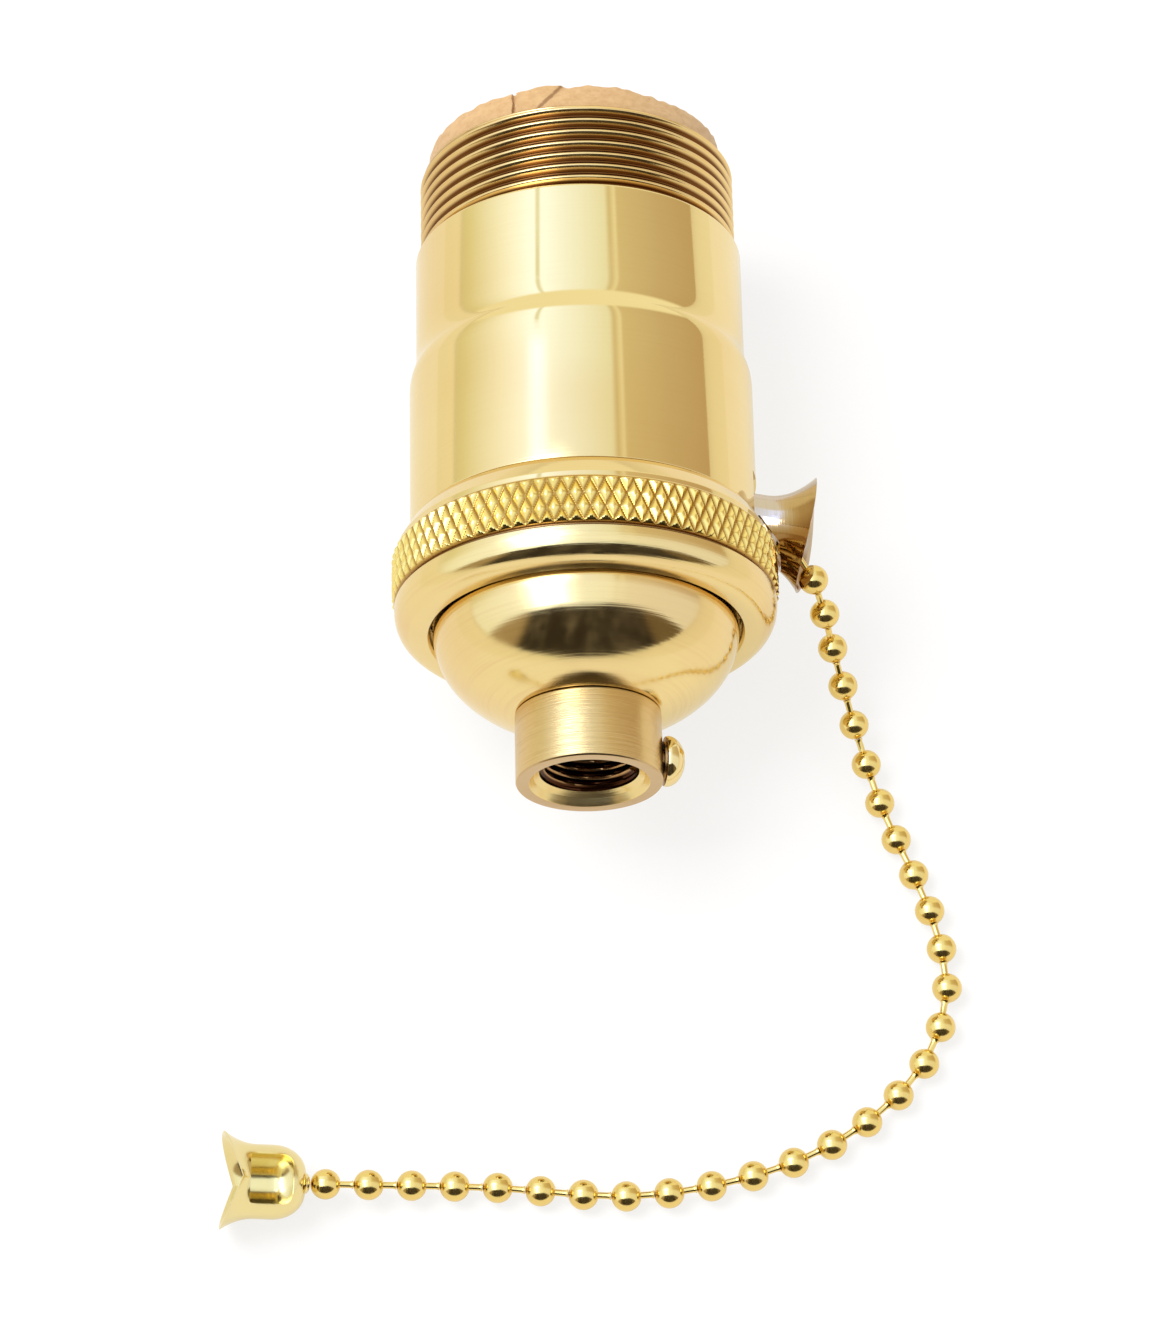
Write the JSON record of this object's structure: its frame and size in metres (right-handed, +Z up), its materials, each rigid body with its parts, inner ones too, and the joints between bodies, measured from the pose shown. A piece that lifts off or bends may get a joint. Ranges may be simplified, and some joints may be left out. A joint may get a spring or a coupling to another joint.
{
  "type": "pull-chain lampholder switch",
  "caption": "Brass pull-chain lampholder with a knurled clamp ring, domed cap, threaded hub, side chain funnel and a ball chain ending in a bell.",
  "frame": {"origin": "on the bench that the lampholder and its laid-out chain lie on, under the middle of their bounding box", "axes": "+Y along the socket axis towards the lamp mouth, +X towards the chain funnel, +Z up from the bench"},
  "size_m": [0.079, 0.118, 0.0414],
  "materials": {
    "polished_brass": "polished",
    "brushed_brass": "brushed",
    "gold_plate": "polished",
    "nickel_plate": "polished",
    "spring_steel": "satin",
    "copper": "satin",
    "fibre": "matte paper fibre",
    "porcelain": "glazed",
    "phenolic": "moulded"
  },
  "bodies": {
    "lampholder": {"outer_shell": "polished_brass", "insulating_sleeve": "fibre", "dome_cap": "polished_brass", "threaded_hub": "brushed_brass", "hub_locknut": "brushed_brass", "chain_funnel": "nickel_plate", "switch_base": "phenolic", "socket_seat": "porcelain", "lamp_screw_shell": "brushed_brass", "centre_contact": "polished_brass", "contact_rivet": "copper", "upper_contact_blade": "copper", "lower_contact_blade": "copper", "hot_terminal": "polished_brass", "neutral_strap": "nickel_plate", "terminal_screw_hot": "polished_brass", "terminal_screw_neutral": "nickel_plate", "assembly_screw_upper": "spring_steel", "assembly_screw_lower": "spring_steel", "return_spring": "spring_steel"},
    "clamp_ring": {"knurled_ring": "polished_brass"},
    "set_screw": {"set_screw": "polished_brass"},
    "rotor": {"rotor_shaft": "spring_steel", "ratchet_wheel": "phenolic", "contact_cam": "copper"},
    "lever": {"pull_lever": "spring_steel", "drive_pawl": "spring_steel"},
    "chain_run": {"inner_chain": "gold_plate"},
    "bead_01": {"chain_bead_01": "gold_plate"},
    "bead_02": {"chain_bead_02": "gold_plate"},
    "bead_03": {"chain_bead_03": "gold_plate"},
    "bead_04": {"chain_bead_04": "gold_plate"},
    "bead_05": {"chain_bead_05": "gold_plate"},
    "bead_06": {"chain_bead_06": "gold_plate"},
    "bead_07": {"chain_bead_07": "gold_plate"},
    "bead_08": {"chain_bead_08": "gold_plate"},
    "bead_09": {"chain_bead_09": "gold_plate"},
    "bead_10": {"chain_bead_10": "gold_plate"},
    "bead_11": {"chain_bead_11": "gold_plate"},
    "bead_12": {"chain_bead_12": "gold_plate"},
    "bead_13": {"chain_bead_13": "gold_plate"},
    "bead_14": {"chain_bead_14": "gold_plate"},
    "bead_15": {"chain_bead_15": "gold_plate"},
    "bead_16": {"chain_bead_16": "gold_plate"},
    "bead_17": {"chain_bead_17": "gold_plate"},
    "bead_18": {"chain_bead_18": "gold_plate"},
    "bead_19": {"chain_bead_19": "gold_plate"},
    "bead_20": {"chain_bead_20": "gold_plate"},
    "bead_21": {"chain_bead_21": "gold_plate"},
    "bead_22": {"chain_bead_22": "gold_plate"},
    "bead_23": {"chain_bead_23": "gold_plate"},
    "bead_24": {"chain_bead_24": "gold_plate"},
    "bead_25": {"chain_bead_25": "gold_plate"},
    "bead_26": {"chain_bead_26": "gold_plate"},
    "bead_27": {"chain_bead_27": "gold_plate"},
    "bead_28": {"chain_bead_28": "gold_plate"},
    "bead_29": {"chain_bead_29": "gold_plate"},
    "bead_30": {"chain_bead_30": "gold_plate"},
    "bell": {"bell_end": "gold_plate"}
  },
  "joints": [
    {"name": "chain_pull", "type": "slide", "parent": "lampholder", "child": "chain_run", "axis": [0.9789, -0.2045, 0], "range_m": [0, 0.009]},
    {"name": "lever_swing", "type": "hinge", "parent": "lampholder", "child": "lever", "pos_m": [0.00506, 0.02498, 0.02079], "axis": [0, 0, 1], "range_deg": [0, 60], "deforming": ["return_spring"]},
    {"name": "rotor_turn", "type": "hinge", "parent": "lampholder", "child": "rotor", "pos_m": [0.00506, 0.02498, 0.02079], "axis": [0, 0, 1], "range_deg": [0, 60]},
    {"name": "clamp_ring_turn", "type": "hinge", "parent": "lampholder", "child": "clamp_ring", "pos_m": [0.00017, 0.0066, 0.02079], "axis": [0, 1, 0], "continuous": true},
    {"name": "set_screw_turn", "type": "hinge", "parent": "lampholder", "child": "set_screw", "pos_m": [0.00017, -0.01345, 0.02079], "axis": [0.9848, 0, -0.1736], "continuous": true},
    {"name": "bead_01_bend", "type": "hinge", "parent": "chain_run", "child": "bead_01", "pos_m": [0.01897, 0.01411, 0.02079], "axis": [-0.5997, -0.7996, 0.0313], "range_deg": [0, 18.67]},
    {"name": "bead_02_bend", "type": "hinge", "parent": "bead_01", "child": "bead_02", "pos_m": [0.02236, 0.01151, 0.01935], "axis": [-0.6992, -0.0697, -0.7115], "range_deg": [0, 5]},
    {"name": "bead_03_bend", "type": "hinge", "parent": "bead_02", "child": "bead_03", "pos_m": [0.02475, 0.00828, 0.01731], "axis": [-0.9232, 0.0746, -0.377], "range_deg": [0, 43.04]},
    {"name": "bead_04_bend", "type": "hinge", "parent": "bead_03", "child": "bead_04", "pos_m": [0.02601, 0.00584, 0.01376], "axis": [-0.3111, -0.8311, 0.461], "range_deg": [0, 4.78]},
    {"name": "bead_05_bend", "type": "hinge", "parent": "bead_04", "child": "bead_05", "pos_m": [0.02692, 0.00344, 0.01005], "axis": [0.9545, 0.295, 0.0444], "range_deg": [0, 12.92]},
    {"name": "bead_06_bend", "type": "hinge", "parent": "bead_05", "child": "bead_06", "pos_m": [0.02803, 0.0003, 0.007], "axis": [0.9641, 0.2467, 0.0977], "range_deg": [0, 8.6]},
    {"name": "bead_07_bend", "type": "hinge", "parent": "bead_06", "child": "bead_07", "pos_m": [0.0292, -0.00326, 0.00449], "axis": [0.9609, 0.2691, 0.0646], "range_deg": [0, 11.32]},
    {"name": "bead_08_bend", "type": "hinge", "parent": "bead_07", "child": "bead_08", "pos_m": [0.03043, -0.00724, 0.00275], "axis": [0.952, 0.3052, -0.0245], "range_deg": [0, 10.35]},
    {"name": "bead_09_bend", "type": "hinge", "parent": "bead_08", "child": "bead_09", "pos_m": [0.03176, -0.01145, 0.00179], "axis": [0.8611, 0.3541, -0.3649], "range_deg": [0, 8.94]},
    {"name": "bead_10_bend", "type": "hinge", "parent": "bead_09", "child": "bead_10", "pos_m": [0.03336, -0.01566, 0.00148], "axis": [0.9046, 0.3605, -0.2275], "range_deg": [0, 5.28]},
    {"name": "bead_11_bend", "type": "hinge", "parent": "bead_10", "child": "bead_11", "pos_m": [0.03505, -0.01985, 0.00158], "axis": [0.2402, 0.1187, 0.9635], "range_deg": [0, 2.86]},
    {"name": "bead_12_bend", "type": "hinge", "parent": "bead_11", "child": "bead_12", "pos_m": [0.03654, -0.02412, 0.00173], "axis": [-0.2923, -0.0676, 0.9539], "range_deg": [0, 6.17]},
    {"name": "bead_13_bend", "type": "hinge", "parent": "bead_12", "child": "bead_13", "pos_m": [0.03758, -0.02851, 0.00174], "axis": [-0.012, -0.0009, 0.9999], "range_deg": [0, 8.91]},
    {"name": "bead_14_bend", "type": "hinge", "parent": "bead_13", "child": "bead_14", "pos_m": [0.03793, -0.03301, 0.00174], "axis": [0, 0, 1], "range_deg": [0, 16.12]},
    {"name": "bead_15_bend", "type": "hinge", "parent": "bead_14", "child": "bead_15", "pos_m": [0.03702, -0.03742, 0.00174], "axis": [0, 0, 1], "range_deg": [0, 13.97]},
    {"name": "bead_16_bend", "type": "hinge", "parent": "bead_15", "child": "bead_16", "pos_m": [0.03507, -0.04149, 0.00174], "axis": [0, 0, 1], "range_deg": [0, 14.33]},
    {"name": "bead_17_bend", "type": "hinge", "parent": "bead_16", "child": "bead_17", "pos_m": [0.03217, -0.04494, 0.00174], "axis": [0, 0, 1], "range_deg": [0, 10]},
    {"name": "bead_18_bend", "type": "hinge", "parent": "bead_17", "child": "bead_18", "pos_m": [0.02871, -0.04785, 0.00174], "axis": [0, 0, 1], "range_deg": [0, 7.64]},
    {"name": "bead_19_bend", "type": "hinge", "parent": "bead_18", "child": "bead_19", "pos_m": [0.0249, -0.05027, 0.00174], "axis": [0, 0, 1], "range_deg": [0, 7.8]},
    {"name": "bead_20_bend", "type": "hinge", "parent": "bead_19", "child": "bead_20", "pos_m": [0.02079, -0.05214, 0.00174], "axis": [0, 0, 1], "range_deg": [0, 6.84]},
    {"name": "bead_21_bend", "type": "hinge", "parent": "bead_20", "child": "bead_21", "pos_m": [0.01649, -0.05352, 0.00174], "axis": [0, 0, 1], "range_deg": [0, 5.02]},
    {"name": "bead_22_bend", "type": "hinge", "parent": "bead_21", "child": "bead_22", "pos_m": [0.01208, -0.05452, 0.00174], "axis": [0, 0, 1], "range_deg": [0, 4.25]},
    {"name": "bead_23_bend", "type": "hinge", "parent": "bead_22", "child": "bead_23", "pos_m": [0.00761, -0.05519, 0.00174], "axis": [-0.0091, 0.0609, 0.9981], "range_deg": [0, 5.52]},
    {"name": "bead_24_bend", "type": "hinge", "parent": "bead_23", "child": "bead_24", "pos_m": [0.0031, -0.05542, 0.00171], "axis": [-0.0105, 0.0878, 0.9961], "range_deg": [0, 6.74]},
    {"name": "bead_25_bend", "type": "hinge", "parent": "bead_24", "child": "bead_25", "pos_m": [-0.00141, -0.05512, 0.00164], "axis": [-0.0263, -0.1566, 0.9873], "range_deg": [0, 2.84]},
    {"name": "bead_26_bend", "type": "hinge", "parent": "bead_25", "child": "bead_26", "pos_m": [-0.0059, -0.05461, 0.0016], "axis": [-0.0899, -0.8247, -0.5584], "range_deg": [0, 1.8]},
    {"name": "bead_27_bend", "type": "hinge", "parent": "bead_26", "child": "bead_27", "pos_m": [-0.0104, -0.05417, 0.00168], "axis": [-0.0701, -0.5731, -0.8165], "range_deg": [0, 4.22]},
    {"name": "bead_28_bend", "type": "hinge", "parent": "bead_27", "child": "bead_28", "pos_m": [-0.01491, -0.05401, 0.00195], "axis": [-0.0627, -0.8466, -0.5285], "range_deg": [0, 2.47]},
    {"name": "bead_29_bend", "type": "hinge", "parent": "bead_28", "child": "bead_29", "pos_m": [-0.0194, -0.05395, 0.00239], "axis": [-0.0579, -0.8784, -0.4745], "range_deg": [0, 1.21]},
    {"name": "bead_30_bend", "type": "hinge", "parent": "bead_29", "child": "bead_30", "pos_m": [-0.02389, -0.05393, 0.00291], "axis": [-0.0579, -0.8784, -0.4745], "range_deg": [0, 1]},
    {"name": "bell_swing", "type": "hinge", "parent": "bead_30", "child": "bell", "pos_m": [-0.02838, -0.05392, 0.00343], "axis": [0, 0, 1], "range_deg": [-30, 30]}
  ],
  "couplings": [
    {"joint": "lever_swing", "follows": "chain_pull", "rad_per_m": 116.36},
    {"joint": "rotor_turn", "follows": "chain_pull", "rad_per_m": 116.36}
  ]
}
